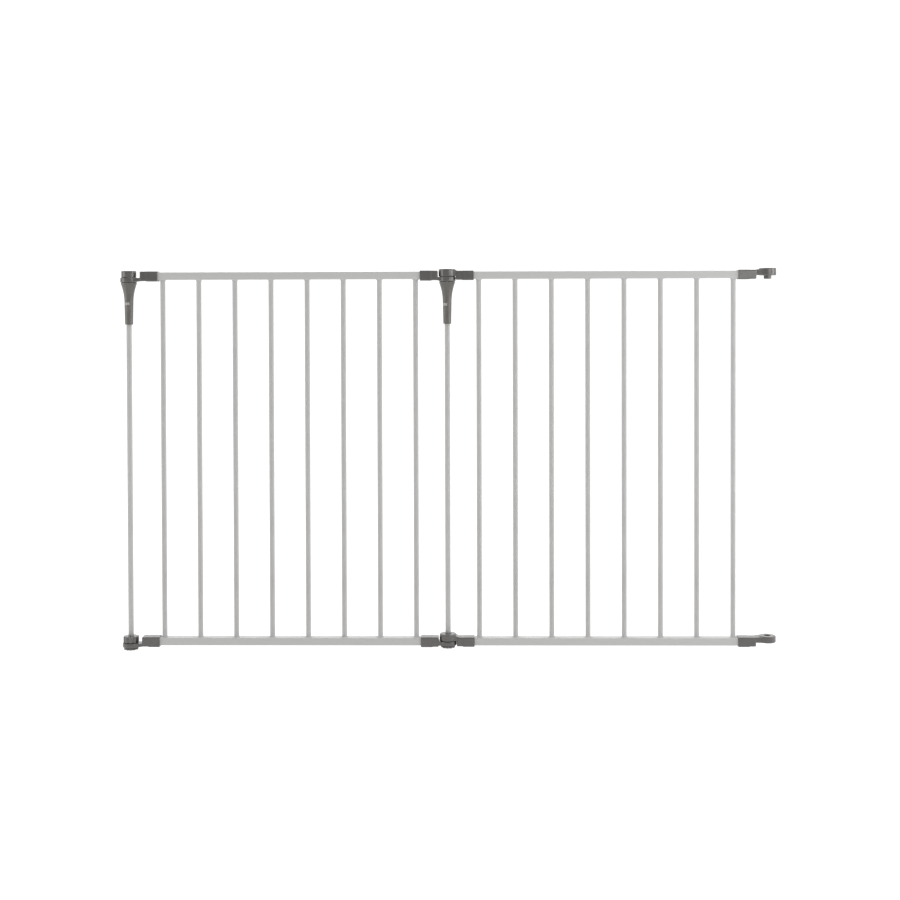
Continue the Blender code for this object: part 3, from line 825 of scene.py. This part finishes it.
def swept(path, radius, sides=10):
    """A round wire along a list of points, closed at both ends."""
    points = [Vector(point) for point in path]
    sections = []
    for i, point in enumerate(points):
        ahead = points[min(i + 1, len(points) - 1)] - points[max(i - 1, 0)]
        out = Vector((point.x, point.y, 0)).normalized()
        up = ahead.cross(out).normalized()
        ring = circle(radius, sides)
        sections.append([point + out * a + up * b for a, b in ring])
    return lofted(sections)


def build_coil_spring(side):
    """A compression spring whose end turns lie flat."""
    node = f"{side}_grip_spring"
    low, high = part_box(node)
    bottom = low[2] + SPRING_WIRE
    rise = high[2] - low[2] - 2 * SPRING_WIRE
    steps = int(SPRING_TURNS * 28)
    path = []
    for i in range(steps + 1):
        turn = SPRING_TURNS * i / steps
        share = min(max((turn - 0.6) / (SPRING_TURNS - 1.2), 0), 1)
        angle = math.tau * turn
        flat = 2 * SPRING_WIRE * (min(turn, 0.6) / 0.6 * 0.5)
        level = flat + (rise - 2 * SPRING_WIRE) * share
        level += SPRING_WIRE * max(turn - SPRING_TURNS + 0.6, 0) / 0.6
        path.append((SPRING_RADIUS * math.cos(angle), SPRING_RADIUS * math.sin(angle), bottom + level))
    mesh = smooth_shaded(mesh_from(swept(path, SPRING_WIRE), "coil"), 60)
    spring = finished(node, mesh, SPRING_STEEL, (POST_X[side], 0, 0), POST_TURNS[side])
    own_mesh(spring)


def build_pin(side):
    node = f"{side}_grip_pin"
    low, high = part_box(node)
    head_radius = (high[0] - low[0]) / 2
    profile = [
        (0, low[2], 0),
        (head_radius, low[2], 0.4 * MM),
        (head_radius, low[2] + PIN_HEAD_HEIGHT, 0.3 * MM),
        (PIN_RADIUS, low[2] + PIN_HEAD_HEIGHT, 0),
        (PIN_RADIUS, high[2] - 1 * MM, 0.4 * MM),
        (PIN_RADIUS - 1 * MM, high[2], 0.4 * MM),
        (0, high[2], 0),
    ]
    mesh = smooth_shaded(mesh_from(turned(filleted(profile, 0), TUBE_STEPS), "pin"))
    finished(node, mesh, DRAWN_STEEL, (POST_X[side], 0, 0))


def build_leaf_spring(side):
    """A strip bent into an arch behind the button's stem."""
    node = f"{side}_button_spring"
    low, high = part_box(node)
    front = -STEM_END + GAP
    back = ROD_RADIUS - ROD_WALL - 0.8 * MM
    middle = (front + back) / 2
    outside = []
    inside = []
    for i in range(25):
        angle = math.pi * i / 24
        rise = math.sin(angle) ** 0.6 * (high[2] - low[2])
        half = (back - front) / 2
        outside.append((middle - half * math.cos(angle), low[2] + rise))
        half -= LEAF_THICKNESS
        inside.append((middle - half * math.cos(angle), low[2] + max(rise - LEAF_THICKNESS, 0)))
    strip = along_x(extruded(outside + inside[::-1], -LEAF_WIDTH / 2, LEAF_WIDTH / 2))
    turn = POST_TURNS[side]
    mesh = smooth_shaded(mesh_from(strip, "leaf"))
    spring = finished(node, mesh, SPRING_STEEL, (POST_X[side], 0, 0), turn)
    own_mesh(spring)


def dress_plug(side):
    """Gives the plug's CAD node, inside the post's lower end, a finished material."""
    data = frame["nodes"][f"{side}_post_plug"].data
    data.materials.clear()
    data.materials.append(ZINC)


def build_posts():
    build_cap()
    build_crown()
    for side in ("left", "middle"):
        build_rod(side)
        build_foot(side)
        build_grip(side)
        build_pin(side)
        build_coil_spring(side)
        build_button(side)
        build_leaf_spring(side)
        dress_plug(side)


# ---------------------------------------------------------------- studio


def build_studio():
    """A pale floor, a lit backdrop, soft lights and an even surround."""
    add_sheet("studio_floor", [(-STUDIO_HALF, 0.0), (2.6, 0.0)], FLOOR_GLOW)
    add_sheet("studio_backdrop", [(2.6, 0.0), (2.6, 5.0)], BACKDROP_GLOW)
    add_light("top_softbox", (0, 0.25, 2.1), (0, 0, 0), (2.6, 1.6), 42)
    add_light("corner_softbox", (1.05, -1.15, 0.79), (0.6, 0, 0.734), (0.9, 0.2), 2.5)
    add_light("right_softbox", (2.6, -0.8, 0.7), (0, 0, 0.4), (1.2, 1.6), 24)
    add_light("left_softbox", (-2.6, -0.8, 0.7), (0, 0, 0.4), (1.2, 1.6), 16)
    world = bpy.data.worlds.new("white_surround")
    world.use_nodes = True
    world.node_tree.nodes["Background"].inputs["Color"].default_value = (1, 1, 1, 1)
    world.node_tree.nodes["Background"].inputs["Strength"].default_value = SURROUND
    bpy.context.scene.world = world
    bpy.context.scene.view_settings.view_transform = "Standard"


def add_sheet(name, profile, glow):
    bm = bmesh.new()
    rows = [[bm.verts.new((x, y, z)) for x in (-STUDIO_HALF, STUDIO_HALF)] for y, z in profile]
    for near, far in zip(rows, rows[1:]):
        bm.faces.new((near[0], near[1], far[1], far[0]))
    mesh = bpy.data.meshes.new(name)
    bm.to_mesh(mesh)
    bm.free()
    mesh.materials.append(studio_paper(f"{name}_paper", glow))
    put_in_scene(name, mesh)


def add_light(name, place, target, size, power):
    light = bpy.data.lights.new(name, "AREA")
    light.shape = "RECTANGLE"
    light.size, light.size_y = size
    light.energy = power
    obj = bpy.data.objects.new(name, light)
    bpy.context.scene.collection.objects.link(obj)
    obj.location = place
    obj.rotation_euler = (Vector(target) - Vector(place)).to_track_quat("-Z", "Y").to_euler()


def build_camera():
    camera = bpy.data.cameras.new("camera")
    camera.lens = CAMERA_LENS
    camera.sensor_width = 36
    camera.shift_y = CAMERA_SHIFT
    camera.clip_start = 0.01
    obj = bpy.data.objects.new("camera", camera)
    bpy.context.scene.collection.objects.link(obj)
    turn = Matrix.Rotation(CAMERA_YAW, 4, "Z") @ Matrix.Rotation(CAMERA_PITCH, 4, "X")
    turn = turn @ Matrix.Rotation(CAMERA_ROLL, 4, "Y") @ Matrix.Rotation(math.pi / 2, 4, "X")
    obj.matrix_world = Matrix.Translation(CAMERA_PLACE) @ turn
    bpy.context.scene.camera = obj


build_camera()
build_studio()
build_panels()
build_posts()
